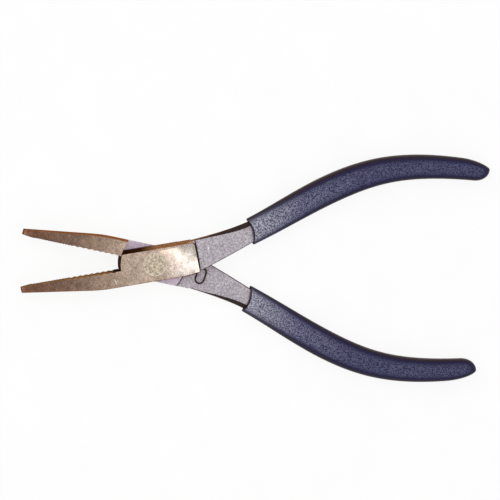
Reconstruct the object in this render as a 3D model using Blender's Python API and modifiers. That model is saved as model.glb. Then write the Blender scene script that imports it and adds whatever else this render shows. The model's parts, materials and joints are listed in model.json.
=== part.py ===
"""Assembly pliers: long slim jaws, a lap joint with a flush rivet, and dipped plastic grips.

Both levers are the same forging. It is drawn with the jaws shut, its pivot at the
origin, the lap plane at height zero and its ground face up. The front lever is turned
open about the pivot. The rear lever is a second copy, flipped over about the tool's
length and turned open the other way. The tool lies along X with its jaws at -X.
"""

import math

import bmesh
import bpy
from mathutils import Vector
from mathutils.geometry import interpolate_bezier

MM = 0.001

# Whole tool
HEAD_THICKNESS = 9.4 * MM
HALF_OPENING = math.radians(10.8)

# Jaws, seen from the front with the tool shut
JAW_REACH = 55.65 * MM
JAW_ROOT_EDGE = 7.35 * MM
JAW_BEND = 23.5 * MM
JAW_BEND_RADIUS = 60.0 * MM
JAW_TIP_WIDTH = 2.75 * MM
JAW_TIP_SLANT = 0.15 * MM
JAW_TIP_BEVEL = 4.0 * MM
JAW_TIP_BEVEL_WIDTH = 0.40 * MM
JAW_TIP_THICKNESS = 4.2 * MM
JAW_DRAFT = 0.10
TIP_GAP = 0.30 * MM
THROAT_GAP = 0.80 * MM

# Teeth across the gripping faces
TEETH_START = 16.0 * MM
COARSE_PITCH = 2.4 * MM
COARSE_DEPTH = 0.32 * MM
COARSE_COUNT = 8
FINE_PITCH = 1.2 * MM
FINE_DEPTH = 0.16 * MM

# Joint head
BOSS_RADIUS = 14.3 * MM
BOSS_TOP_EDGE = 7.3 * MM
BOSS_LOW_EDGE = 7.35 * MM
BOSS_LOW_BEND = 12.2 * MM
BOSS_HEEL = 17.4 * MM
HEEL_SLANT = 0.7 * MM
HEEL_CORNER = 1.3 * MM
LAND_RADIUS = 13.2 * MM
LAND_HEIGHT = 0.25 * MM
WALL_DRAFT = 0.21
EDGE_CHAMFER = 0.22 * MM
THROAT_CHAMFER = 0.08 * MM

# Rivet
RIVET_HEAD_RADIUS = 4.85 * MM
RIVET_SHAFT_RADIUS = 3.4 * MM
RIVET_HEAD_DEPTH = 1.7 * MM

# Clearances
LAP_CLEARANCE = 0.10 * MM
BOSS_CLEARANCE = 0.20 * MM
RIVET_CLEARANCE = 0.08 * MM
GRIP_CLEARANCE = 0.20 * MM

# Shank, from the head's heel to the mouth of the grip
GROUND_STEP = 0.4 * MM
UNDERSIDE_STEP = 0.05 * MM
SHANK_ROOT_WIDTH = 11.6 * MM
SHANK_HEEL_WIDTH = 13.0 * MM
SHANK_MOUTH_WIDTH = 8.35 * MM
SHANK_TAPER_POWER = 1.25
SHANK_CHAMFER_START = 19.0 * MM
SHANK_CHAMFER = 1.9 * MM
SHANK_CHAMFER_DEPTH = 1.1 * MM
SHANK_EDGE = 0.25 * MM

# Tang, hidden in the grip
TANG_CHAMFER = 2.2 * MM
TANG_CRANK = 34.0 * MM
TANG_SHORTER = 12.0 * MM

# Centre line of shank and grip with the tool shut
ROOT_X = 12.0 * MM
ROOT_Y = -0.35 * MM
ROOT_SLOPE = math.radians(10.0)
MOUTH_X = 42.0 * MM
MOUTH_Y = 6.65 * MM
MOUTH_SLOPE = math.radians(17.0)
BELLY_X = 102.0 * MM
BELLY_Y = 21.9 * MM
TAIL_X = 142.6 * MM
TAIL_Y = 14.2 * MM
TAIL_SLOPE = math.radians(-17.0)

# Grips
GRIP_WALL = 1.1 * MM
GRIP_PALM_X = 78.0 * MM
GRIP_PALM_WIDTH = 11.8 * MM
GRIP_WAIST_X = 113.0 * MM
GRIP_WAIST_WIDTH = 10.2 * MM
GRIP_TAIL_WIDTH = 8.3 * MM
GRIP_TAIL_THICKNESS = 8.2 * MM
GRIP_SQUARENESS = 2.7
FRONT_GRIP_EXTRA = 0.95 * MM
REAR_GRIP_EXTRA = -1.6 * MM

# Mouth of the grip, which reaches further down the inner side than the outer one
GRIP_LIP = 0.45 * MM
GRIP_LIP_ROUND = 0.27 * MM
MOUTH_SLANT = 2.0 * MM
MOUTH_DIP = 1.5 * MM

# Closed end of the grip: how far its rounding reaches, and its nose's place off the middle
GRIP_END_OUTER = 12.5 * MM
GRIP_END_INNER = 6.2 * MM
GRIP_END_THICK = 5.0 * MM
GRIP_END_FLAT = math.radians(5.0)
GRIP_NOSE_OUT = 0.9 * MM

# Plain ring that the forging die leaves on the lap side of each shank
MARK_X = 20.3 * MM
MARK_Y = 1.05 * MM
MARK_LEAN = math.radians(7.0)
MARK_WIDTH = 4.1 * MM
MARK_LENGTH = 7.0 * MM
MARK_RIM = 0.5 * MM
MARK_HEIGHT = 0.14 * MM
MARK_ROOT = 0.3 * MM

# Smoothness of round shapes
ROUND_STEPS = 72
BOSS_STEPS = 6
HEEL_STEPS = 4
LAP_STEPS = 16
MARK_STEPS = 10
PATH_STEPS = 12
SECTION_STEPS = 28
GRIP_STEPS = 20
END_STEPS = 9
NEARLY_STRAIGHT = 0.08
MERGE = 0.001 * MM

HALF_HEAD = HEAD_THICKNESS / 2
LAP_FACE = LAP_CLEARANCE / 2
LAP_RADIUS = BOSS_RADIUS + BOSS_CLEARANCE
SHANK_TOP = HALF_HEAD - GROUND_STEP
SHANK_UNDERSIDE = LAP_FACE + LAND_HEIGHT
GRIP_SKIN = GRIP_WALL + GRIP_CLEARANCE
GRIP_MOUTH_WIDTH = SHANK_MOUTH_WIDTH + 2 * GRIP_SKIN
SHANK_MOUTH_TOP = HALF_HEAD - GRIP_SKIN


def clear_scene():
    """Remove what the scene holds."""
    for thing in list(bpy.data.objects):
        bpy.data.objects.remove(thing)


def make_collection(name):
    """Add a collection to the scene."""
    group = bpy.data.collections.new(name)
    bpy.context.scene.collection.children.link(group)
    return group


def make_material(name, colour, roughness, metallic):
    """Plain Principled material."""
    material = bpy.data.materials.new(name)
    material.use_nodes = True
    shader = material.node_tree.nodes["Principled BSDF"]
    shader.inputs["Base Color"].default_value = (*colour, 1.0)
    shader.inputs["Roughness"].default_value = roughness
    shader.inputs["Metallic"].default_value = metallic
    return material


def loft(name, rings, group):
    """Skin a row of closed rings with as many points each, and cap both ends."""
    bm = bmesh.new()
    rows = [[bm.verts.new(point) for point in ring] for ring in rings]
    count = len(rings[0])
    for first, second in zip(rows, rows[1:]):
        for i in range(count):
            j = (i + 1) % count
            bm.faces.new((first[i], first[j], second[j], second[i]))
    bm.faces.new(rows[0][::-1])
    bm.faces.new(rows[-1])
    return mesh_object(name, bm, group)


def mesh_object(name, bm, group):
    """Turn a closed bmesh into an object with its faces pointing out."""
    bmesh.ops.recalc_face_normals(bm, faces=bm.faces)
    mesh = bpy.data.meshes.new(name)
    bm.to_mesh(mesh)
    bm.free()
    thing = bpy.data.objects.new(name, mesh)
    group.objects.link(thing)
    return thing


def extruded(name, outline, low, high, group):
    """Flat outline pulled up from one height to another."""
    return loft(name, [[(x, y, z) for x, y in outline] for z in (low, high)], group)


def cylinder(name, radius, low, high, group):
    """Round disc about the pivot."""
    bm = bmesh.new()
    bmesh.ops.create_cone(
        bm, cap_ends=True, segments=ROUND_STEPS, radius1=radius, radius2=radius, depth=high - low
    )
    bmesh.ops.translate(bm, verts=bm.verts, vec=(0, 0, (low + high) / 2))
    return mesh_object(name, bm, group)


def turned(name, profile, group):
    """Profile of (radius, height) points, listed top to bottom, turned about the pivot."""
    mesh = bpy.data.meshes.new(name)
    points = [(radius, 0.0, height) for radius, height in profile]
    mesh.from_pydata(points, [(i, i + 1) for i in range(len(points) - 1)], [])
    thing = bpy.data.objects.new(name, mesh)
    group.objects.link(thing)
    screw = thing.modifiers.new("Screw", "SCREW")
    screw.steps = ROUND_STEPS
    screw.render_steps = ROUND_STEPS
    screw.use_merge_vertices = True
    screw.merge_threshold = MERGE
    return thing


def boolean(thing, other, operation):
    """Join or cut with another object, which stays as a hidden guide."""
    modifier = thing.modifiers.new(other.name, "BOOLEAN")
    modifier.operation = operation
    modifier.solver = "EXACT"
    modifier.object = other
    other.hide_render = True
    other.display_type = "WIRE"


def apply_modifiers(thing):
    """Keep the shape that the modifiers make."""
    bpy.context.view_layer.update()
    graph = bpy.context.evaluated_depsgraph_get()
    shaped = bpy.data.meshes.new_from_object(thing.evaluated_get(graph))
    shaped.name = thing.name
    thing.modifiers.clear()
    thing.data = shaped


def finish(thing, material, sharp_angle=33.0):
    """Give a sub-part its material and smooth its round faces."""
    thing.data.materials.clear()
    thing.data.materials.append(material)
    thing.data.shade_smooth()
    thing.data.set_sharp_from_angle(angle=math.radians(sharp_angle))


def mix(a, b, t):
    """Straight mix of two numbers."""
    return a + (b - a) * t


def ease(t):
    """Go smoothly from 0 to 1."""
    t = min(max(t, 0.0), 1.0)
    return t * t * (3 - 2 * t)


def arc(radius, start, end, steps, centre=(0.0, 0.0)):
    """Points along an arc from one angle to another."""
    angles = [mix(start, end, i / steps) for i in range(steps + 1)]
    return [(centre[0] + radius * math.cos(a), centre[1] + radius * math.sin(a)) for a in angles]


def fillet(before, corner, after, radius, steps):
    """Arc that rounds a corner between two straight edges."""
    corner = Vector(corner)
    back = (Vector(before) - corner).normalized()
    ahead = (Vector(after) - corner).normalized()
    half_angle = back.angle(ahead) / 2
    centre = corner + (back + ahead).normalized() * (radius / math.sin(half_angle))
    first = corner + back * (radius / math.tan(half_angle)) - centre
    last = corner + ahead * (radius / math.tan(half_angle)) - centre
    start = math.atan2(first.y, first.x)
    turn = math.atan2(first.x * last.y - first.y * last.x, first.dot(last))
    return arc(radius, start, start + turn, steps, centre)


def smooth_through(stations, x):
    """Smooth curve through (x, value) stations, level beyond the first and last."""
    if x <= stations[0][0]:
        return stations[0][1]
    for i in range(len(stations) - 1):
        (x0, v0), (x1, v1) = stations[i], stations[i + 1]
        if x <= x1:
            before = stations[max(i - 1, 0)]
            after = stations[min(i + 2, len(stations) - 1)]
            m0 = (v1 - before[1]) / (x1 - before[0]) * (x1 - x0)
            m1 = (after[1] - v0) / (after[0] - x0) * (x1 - x0)
            t = (x - x0) / (x1 - x0)
            swing = m0 * t * (1 - t) ** 2 - m1 * t * t * (1 - t)
            return mix(v0, v1, ease(t)) + swing
    return stations[-1][1]


# Jaw and joint head, made as one plate


def jaw_gap(x):
    """Distance from the middle of the shut tool to a gripping face."""
    return mix(THROAT_GAP, TIP_GAP, (-x - BOSS_RADIUS) / (JAW_REACH - BOSS_RADIUS)) / 2


def half_thickness(x):
    """Half the thickness of the plate, which thins from the first tooth to the tip."""
    t = (-x - TEETH_START) / (JAW_REACH - TEETH_START)
    return mix(HALF_HEAD, JAW_TIP_THICKNESS / 2, max(t, 0.0))


def tooth_row(start, pitch, depth, count):
    """Roots and crests of a row of teeth, going towards the tip."""
    points = []
    for i in range(count):
        root = -start - pitch * (i + 0.5)
        crest = -start - pitch * (i + 1)
        points.append((root, -jaw_gap(root) - depth))
        points.append((crest, -jaw_gap(crest)))
    return points


def gripping_face():
    """Inner edge of the jaw, with its coarse teeth and then its fine ones."""
    fine_start = TEETH_START + COARSE_PITCH * COARSE_COUNT
    fine_count = int((JAW_REACH - JAW_TIP_BEVEL - fine_start) / FINE_PITCH)
    first = (-TEETH_START, -jaw_gap(-TEETH_START))
    coarse = tooth_row(TEETH_START, COARSE_PITCH, COARSE_DEPTH, COARSE_COUNT)
    return [first] + coarse + tooth_row(fine_start, FINE_PITCH, FINE_DEPTH, fine_count)


def jaw_back():
    """Outer edge of the jaw from its tip to the joint, with a point where thinning starts."""
    tip = (-JAW_REACH + JAW_TIP_SLANT, -TIP_GAP / 2 - JAW_TIP_WIDTH)
    bend = (-JAW_BEND, -JAW_ROOT_EDGE)
    root = (0.0, -BOSS_LOW_EDGE)
    points = [tip] + fillet(tip, bend, root, JAW_BEND_RADIUS, 4) + [root]
    kept = []
    for here, following in zip(points, points[1:]):
        kept.append(here)
        if here[0] < -TEETH_START < following[0]:
            t = (-TEETH_START - here[0]) / (following[0] - here[0])
            kept.append((-TEETH_START, mix(here[1], following[1], t)))
    return kept + [root]


def plate_outline():
    """Outline at mid thickness as (point, draft, chamfer), with the steel on its left.

    The draft and the chamfer are those of the edge that starts at the point. The last
    point is the heel's upper corner, still sharp.
    """
    throat = math.pi + math.asin(THROAT_GAP / 2 / BOSS_RADIUS)
    top = math.pi - math.asin(BOSS_TOP_EDGE / BOSS_RADIUS)
    throat_wall = arc(BOSS_RADIUS, top, throat, BOSS_STEPS)
    tip_edge = (-JAW_REACH, -TIP_GAP / 2 - JAW_TIP_BEVEL_WIDTH)
    tip_bevel = (-JAW_REACH + JAW_TIP_BEVEL, -TIP_GAP / 2)
    low_heel = (BOSS_HEEL + HEEL_SLANT, -BOSS_LOW_EDGE + HEEL_SLANT)
    belly = (BOSS_LOW_BEND, -BOSS_LOW_EDGE)
    top_heel = (BOSS_HEEL, BOSS_TOP_EDGE)

    rows = [(point, 0.0, THROAT_CHAMFER) for point in throat_wall[:-1]]
    rows += [(point, 0.0, 0.0) for point in [throat_wall[-1]] + gripping_face() + [tip_bevel]]
    rows.append((tip_edge, 0.0, EDGE_CHAMFER))
    rows += [(point, JAW_DRAFT, EDGE_CHAMFER) for point in jaw_back() + [belly]]
    rows.append((low_heel, 0.0, EDGE_CHAMFER))
    rows.append((top_heel, WALL_DRAFT, EDGE_CHAMFER))
    return rows


def inset_corner(before, here, after, first, second):
    """Corner of an outline whose two edges move inwards by their own amounts."""
    along_first = (here - before).normalized()
    along_second = (after - here).normalized()
    cross = along_first.cross(along_second)
    if abs(cross) < NEARLY_STRAIGHT:
        inwards = Vector((-along_first.y, along_first.x))
        return here + inwards * (first + second) / 2
    return here + (along_second * first - along_first * second) / cross


def plate_ring(rows, side, top):
    """One ring of the plate: side is -1, 0 or 1, and top says if it bounds the flat face."""
    corners = [Vector(row[0]) for row in rows]
    places = []
    for i, here in enumerate(corners):
        reach = abs(side) * (half_thickness(here.x) - EDGE_CHAMFER)
        edges = (rows[i - 1], rows[i])
        first, second = [draft * reach + (chamfer if top else 0.0) for _, draft, chamfer in edges]
        after = corners[(i + 1) % len(corners)]
        places.append(inset_corner(corners[i - 1], here, after, first, second))
    places[-1:] = fillet(places[-2], places[-1], places[0], HEEL_CORNER, HEEL_STEPS)
    lower = 0.0 if top else EDGE_CHAMFER
    return [(x, y, side * (half_thickness(x) - lower)) for x, y in places]


def add_plate(group):
    """Jaw and head at full thickness, with drafted walls and chamfered faces."""
    rows = plate_outline()
    levels = ((-1, True), (-1, False), (0, False), (1, False), (1, True))
    bm = bmesh.new()
    rings = [[bm.verts.new(p) for p in plate_ring(rows, side, top)] for side, top in levels]
    count = len(rings[0])
    for low, high in zip(rings, rings[1:]):
        for i in range(count):
            j = (i + 1) % count
            bm.faces.new((low[i], low[j], high[j], high[i]))
    breaks = [i for i, row in enumerate(rows) if abs(row[0][0] + TEETH_START) < MERGE]
    first, last = breaks[0], breaks[-1]
    for ring, step in ((rings[0], -1), (rings[-1], 1)):
        bm.faces.new(ring[first:last + 1][::step])
        bm.faces.new((ring[last:] + ring[:first + 1])[::step])
    return mesh_object("plate", bm, group)


# Shank, tang and grip, which follow one centre line


def centre_line():
    """Places and headings from the head to the tail, as (point, sideways)."""
    knots = (
        (Vector((ROOT_X, ROOT_Y)), ROOT_SLOPE),
        (Vector((MOUTH_X, MOUTH_Y)), MOUTH_SLOPE),
        (Vector((BELLY_X, BELLY_Y)), 0.0),
        (Vector((TAIL_X, TAIL_Y)), TAIL_SLOPE),
    )
    runs = []
    for (start, slope_a), (end, slope_b) in zip(knots, knots[1:]):
        pull = (end - start).length / 3
        handle_a = start + Vector((math.cos(slope_a), math.sin(slope_a))) * pull
        handle_b = end - Vector((math.cos(slope_b), math.sin(slope_b))) * pull
        runs.append(interpolate_bezier(start, handle_a, handle_b, end, PATH_STEPS + 1))
    points = [Vector(p[:2]) for p in runs[0][:-1] + runs[1][:-1] + runs[2]]
    line = []
    for i, point in enumerate(points):
        ahead = points[min(i + 1, len(points) - 1)] - points[max(i - 1, 0)]
        ahead.normalize()
        line.append((point, Vector((-ahead.y, ahead.x))))
    return line


def grip_width(x):
    """Outside width of the grip."""
    return smooth_through((
        (MOUTH_X, GRIP_MOUTH_WIDTH),
        (GRIP_PALM_X, GRIP_PALM_WIDTH),
        (GRIP_WAIST_X, GRIP_WAIST_WIDTH),
        (TAIL_X, GRIP_TAIL_WIDTH),
    ), x)


def bar_width(x):
    """Width of the shank, and of the tang in the grip."""
    if x < BOSS_HEEL:
        return mix(SHANK_ROOT_WIDTH, SHANK_HEEL_WIDTH, (x - ROOT_X) / (BOSS_HEEL - ROOT_X))
    if x < MOUTH_X:
        left = (MOUTH_X - x) / (MOUTH_X - BOSS_HEEL)
        return mix(SHANK_MOUTH_WIDTH, SHANK_HEEL_WIDTH, left ** SHANK_TAPER_POWER)
    return grip_width(x) - 2 * GRIP_SKIN


def bar_heights(x):
    """Underside and top of the shank and tang."""
    t = (x - BOSS_HEEL) / (MOUTH_X - BOSS_HEEL)
    top = mix(SHANK_TOP, SHANK_MOUTH_TOP, min(max(t, 0.0), 1.0))
    crank = ease((x - MOUTH_X) / TANG_CRANK)
    towards_tail = ease((x - GRIP_WAIST_X) / (TAIL_X - GRIP_WAIST_X))
    thinner = (HEAD_THICKNESS - GRIP_TAIL_THICKNESS) / 2 * towards_tail
    low = mix(SHANK_UNDERSIDE + UNDERSIDE_STEP, -SHANK_MOUTH_TOP + thinner, crank)
    return low, top - thinner


def bar_ring(point, sideways, clearance):
    """Eight-sided section of the shank or tang, larger all round by a clearance."""
    low, top = bar_heights(point.x)
    half = bar_width(point.x) / 2 + clearance
    tang = ease((point.x - MOUTH_X) / TANG_CRANK)
    grown = ease((point.x - SHANK_CHAMFER_START) / (MOUTH_X - SHANK_CHAMFER_START))
    outer = mix(mix(SHANK_EDGE, SHANK_CHAMFER, grown), TANG_CHAMFER, tang)
    outer_depth = mix(mix(SHANK_EDGE, SHANK_CHAMFER_DEPTH, grown), TANG_CHAMFER, tang)
    inner = mix(SHANK_EDGE, TANG_CHAMFER, tang)
    low -= clearance
    top += clearance
    ring = []
    for side, across, depth in ((1, outer, outer_depth), (-1, inner, inner)):
        corner = [(half - across, top), (half, top - depth)]
        corner += [(half, low + depth), (half - across, low)]
        ring += [(side * place, height) for place, height in corner[::side]]
    places = []
    for across, height in ring:
        place = point + sideways * across
        places.append((place.x, place.y, height))
    return places


def add_bar(name, clearance, group):
    """Shank and tang as one loft, or the room that they need in a grip."""
    line = [(p, s) for p, s in centre_line() if p.x < TAIL_X - TANG_SHORTER]
    rings = [bar_ring(point, sideways, clearance) for point, sideways in line]
    if clearance:
        point, sideways = line[-1]
        ahead = Vector((sideways.y, -sideways.x))
        rings.append(bar_ring(point + ahead * clearance, sideways, clearance))
    return loft(name, rings, group)


def add_die_mark(group):
    """Plain ring on the lap side of the shank, standing a little proud of it."""
    base = SHANK_UNDERSIDE + MARK_ROOT
    face = SHANK_UNDERSIDE - MARK_HEIGHT
    outer = die_mark_outline(0.0)
    inner = die_mark_outline(MARK_RIM)
    ring = extruded("die_mark", outer, face, base, group)
    hollow = extruded("die_mark_hollow", inner, face - MARK_HEIGHT, base + MARK_HEIGHT, group)
    boolean(ring, hollow, "DIFFERENCE")
    return ring


def die_mark_outline(inwards):
    """Slot with round ends."""
    radius = MARK_WIDTH / 2 - inwards
    reach = (MARK_LENGTH - MARK_WIDTH) / 2
    ends = arc(radius, 0.0, math.pi, MARK_STEPS, (0.0, reach))
    ends += arc(radius, math.pi, 2 * math.pi, MARK_STEPS, (0.0, -reach))
    c, s = math.cos(MARK_LEAN), math.sin(MARK_LEAN)
    return [(MARK_X + c * x - s * y, MARK_Y + s * x + c * y) for x, y in ends]


def add_lap_cutters(group):
    """Room for the other lever: the milled disc, and all that lies under the shank."""
    below = -HEAD_THICKNESS
    disc = cylinder("lap_disc", LAP_RADIUS, below, LAP_FACE, group)
    back = arc(LAND_RADIUS, math.radians(60), math.radians(-60), LAP_STEPS)
    outline = [(MOUTH_X, -MOUTH_X), (MOUTH_X, MOUTH_X)] + back
    return disc, extruded("lap_relief", outline, below, SHANK_UNDERSIDE, group)


def rivet_profile(clearance, over):
    """Half outline of the rivet, or of the hole that takes it, from top to bottom."""
    head = RIVET_HEAD_RADIUS + clearance
    shaft = RIVET_SHAFT_RADIUS + clearance
    neck = HALF_HEAD - RIVET_HEAD_DEPTH
    upper = [(head, HALF_HEAD), (shaft, neck)]
    if over:
        upper.insert(0, (head, HALF_HEAD + over))
    upper.insert(0, (0.0, HALF_HEAD + over))
    return upper + [(radius, -height) for radius, height in upper[::-1]]


def add_lever(name, plate, bar, mark, cutters, material, group):
    """One forging: plate and bar joined, milled for the lap and drilled for the rivet."""
    lever = bpy.data.objects.new(name, plate.data.copy())
    group.objects.link(lever)
    for cutter in cutters[:2]:
        boolean(lever, cutter, "DIFFERENCE")
    boolean(lever, bar, "UNION")
    boolean(lever, mark, "UNION")
    boolean(lever, cutters[2], "DIFFERENCE")
    apply_modifiers(lever)
    finish(lever, material)
    return lever


def add_rivet(material, group):
    """Rivet with two countersunk heads, ground flush."""
    rivet = turned("joint_rivet", rivet_profile(0.0, 0.0), group)
    apply_modifiers(rivet)
    finish(rivet, material)
    return rivet


def along(line, distance):
    """Place and sideways direction at a distance along a line, straight on beyond its end."""
    for (start, side_a), (end, side_b) in zip(line, line[1:]):
        step = (end - start).length
        if distance <= step or end is line[-1][0]:
            t = distance / step
            return start + (end - start) * t, side_a.lerp(side_b, min(t, 1.0)).normalized()
        distance -= step


def closing(distance, reach):
    """Quarter of an ellipse: 0 at the tip and 1 from its reach on."""
    t = 1 - min(distance / reach, 1.0)
    return math.sqrt(1 - t * t)


def grip_ring(point, sideways, ends=(1.0, 1.0, 1.0), shrink=0.0, mouth=False):
    """Section of the grip: a square with well-rounded corners.

    The ends are the shares of its outer side, inner side and thickness that are left
    near the tail. At the mouth it is bent, to lie nearer the head along the inner side
    of the handle and at both of its edges than in the middle of its flat faces.
    """
    low, top = bar_heights(point.x)
    half_width = grip_width(point.x) / 2 - shrink
    half_height = ((top - low) / 2 + GRIP_SKIN) * ends[2] - shrink
    middle = (top + low) / 2
    outwards = GRIP_NOSE_OUT * (1 - ends[0])
    ahead = Vector((sideways.y, -sideways.x))
    places = []
    for i in range(SECTION_STEPS):
        angle = 2 * math.pi * i / SECTION_STEPS
        c, s = math.cos(angle), math.sin(angle)
        u = math.copysign(abs(c) ** (2 / GRIP_SQUARENESS), c)
        v = math.copysign(abs(s) ** (2 / GRIP_SQUARENESS), s)
        reach = (half_width - outwards) * ends[0] if c > 0 else (half_width + outwards) * ends[1]
        place = point + sideways * (outwards + u * reach)
        if mouth:
            place += ahead * (MOUTH_DIP * (1 - u * u) - MOUTH_SLANT * (1 - u) / 2)
        places.append((place.x, place.y, middle + v * half_height))
    return places


def mouth_rings(mouth, sideways):
    """Rounded lip of the grip, begun inside the room for the shank."""
    ahead = Vector((sideways.y, -sideways.x))
    steps = (
        (0.0, GRIP_SKIN + GRIP_LIP_ROUND),
        (0.0, GRIP_LIP_ROUND),
        (GRIP_LIP / 3, GRIP_LIP_ROUND / 3),
        (GRIP_LIP, 0.0),
    )
    places = [(mouth + ahead * in_by, shrink) for in_by, shrink in steps]
    return [grip_ring(place, sideways, shrink=shrink, mouth=True) for place, shrink in places]


def end_rings(line, total):
    """Closed end of the grip, rounded over a longer reach on its outer side."""
    rings = []
    for i in range(1, END_STEPS + 1):
        angle = mix(math.pi / 2, GRIP_END_FLAT, i / END_STEPS)
        left = GRIP_END_OUTER * (1 - math.cos(angle))
        ends = [closing(left, reach) for reach in (GRIP_END_OUTER, GRIP_END_INNER, GRIP_END_THICK)]
        rings.append(grip_ring(*along(line, total - left), ends))
    return rings


def add_grip(name, extra, room, material, group):
    """Dipped sleeve: lofted along the handle, closed at the tail, hollow for the tang."""
    line = [(p, s) for p, s in centre_line() if p.x >= MOUTH_X - MERGE]
    total = sum((b[0] - a[0]).length for a, b in zip(line, line[1:])) + extra
    run = total - GRIP_END_OUTER
    rings = mouth_rings(*line[0])
    rings += [grip_ring(*along(line, run * i / GRIP_STEPS)) for i in range(1, GRIP_STEPS + 1)]
    rings += end_rings(line, total)
    grip = loft(name, rings, group)
    boolean(grip, room, "DIFFERENCE")
    apply_modifiers(grip)
    finish(grip, material)
    return grip


def set_open(things, flipped):
    """Stand a lever and what is fixed to it on the pivot, turned open."""
    lever = things[0]
    lever.location = (0.0, 0.0, HALF_HEAD)
    lever.rotation_euler = (math.pi, 0.0, -HALF_OPENING) if flipped else (0.0, 0.0, HALF_OPENING)
    for thing in things[1:]:
        thing.parent = lever


def main():
    clear_scene()
    parts = make_collection("assembly_pliers")
    guides = make_collection("cutters")
    steel = make_material("tool_steel", (0.42, 0.37, 0.33), 0.34, 1.0)
    rivet_steel = make_material("rivet_steel", (0.55, 0.50, 0.43), 0.30, 1.0)
    plastic = make_material("dipped_plastic", (0.055, 0.052, 0.11), 0.45, 0.0)

    plate = add_plate(guides)
    bar = add_bar("shank_and_tang", 0.0, guides)
    room = add_bar("tang_room", GRIP_CLEARANCE, guides)
    mark = add_die_mark(guides)
    hole = turned("rivet_hole", rivet_profile(RIVET_CLEARANCE, HALF_HEAD), guides)
    cutters = (*add_lap_cutters(guides), hole)

    front = add_lever("front_lever", plate, bar, mark, cutters, steel, parts)
    rear = add_lever("rear_lever", plate, bar, mark, cutters, steel, parts)
    rivet = add_rivet(rivet_steel, parts)
    front_grip = add_grip("front_grip", FRONT_GRIP_EXTRA, room, plastic, parts)
    rear_grip = add_grip("rear_grip", REAR_GRIP_EXTRA, room, plastic, parts)
    set_open((front, front_grip, rivet), flipped=False)
    set_open((rear, rear_grip), flipped=True)
    for guide in guides.objects:
        guide.hide_render = True
        guide.display_type = "WIRE"


main()
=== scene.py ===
"""Looks of the assembly pliers: ground jaws and joint, blasted shanks, dipped grips, and a stage.

The pliers lie on a white bench with their jaws to the left. Sizes are in metres.
"""

import json
import math

import bmesh
import bpy
from bpy.props import FloatProperty, FloatVectorProperty, IntProperty, PointerProperty
from bpy.types import Operator, Panel, PropertyGroup
from mathutils import Matrix, Vector
from mathutils.geometry import interpolate_bezier


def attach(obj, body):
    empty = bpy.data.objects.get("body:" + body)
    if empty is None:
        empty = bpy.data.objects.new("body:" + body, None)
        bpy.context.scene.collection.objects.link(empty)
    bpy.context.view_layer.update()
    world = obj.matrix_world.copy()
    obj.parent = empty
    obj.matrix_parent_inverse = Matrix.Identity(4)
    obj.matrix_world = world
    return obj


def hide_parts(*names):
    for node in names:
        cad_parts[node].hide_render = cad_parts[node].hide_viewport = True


bl_info = {
    "name": "Assembly Pliers",
    "version": (1, 0, 0),
    "blender": (4, 5, 0),
    "location": "View3D > Sidebar > Pliers",
    "description": "Dresses a pair of assembly pliers and lights it",
    "category": "Object",
}

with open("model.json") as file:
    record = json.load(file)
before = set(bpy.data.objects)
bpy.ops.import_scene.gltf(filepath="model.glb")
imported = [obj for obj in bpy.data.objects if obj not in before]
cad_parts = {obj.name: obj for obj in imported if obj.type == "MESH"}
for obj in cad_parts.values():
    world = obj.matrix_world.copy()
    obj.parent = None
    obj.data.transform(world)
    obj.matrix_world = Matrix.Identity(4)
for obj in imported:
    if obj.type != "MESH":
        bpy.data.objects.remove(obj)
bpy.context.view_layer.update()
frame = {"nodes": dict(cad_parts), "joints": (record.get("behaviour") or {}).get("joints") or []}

MM = 0.001
PIVOT = Vector(frame["joints"][0]["pos_m"])
HALF_HEAD = PIVOT.z
HEAD_TOP = 2 * HALF_HEAD
HALF_OPENING = math.radians(10.8)

# Places on a lever, drawn as for the shut tool with its ground face up
BOSS_RADIUS = 14.3 * MM
TEETH_END = -50.0 * MM
HEEL_STEP = 12.0 * MM
THROAT_SIDE = -2.2 * MM
SHANK_START = 18.2 * MM
MOUTH_X = 42.0 * MM
LAND_HEIGHT = 0.2 * MM
MARK_FACE = 0.1 * MM

# Kinds of face on a lever, in the order of its finishes
GROUND, BLASTED, MILLED, WALL, SCALE, TEETH, THROAT = range(7)

# Share of a face's direction that has to lie along the thickness for a flat face and for a
# chamfer, along the width for a gripping face, and along the length for a heel and a groove
FLAT_SHARE = 0.9
CHAMFER_SHARE = 0.2
GRIPPING_SHARE = 0.5
HEEL_SHARE = 0.4
GROOVE_SHARE = 0.3

# Widest gap that is welded, and bends that still count as flat, as worn and as sharp
WELD_GAP = 0.001 * MM
FLAT_BEND = math.radians(0.5)
WORN_BEND = math.radians(28)
SHARP_BEND = math.radians(12)
WORN_STEPS = 2


def colour(name, text, default):
    """Colour property."""
    return FloatVectorProperty(
        name=name, description=text, default=default, subtype="COLOR", size=3, min=0.0, max=1.0
    )


def length(name, text, default):
    """Length property."""
    return FloatProperty(name=name, description=text, default=default, unit="LENGTH", precision=6)


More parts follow.
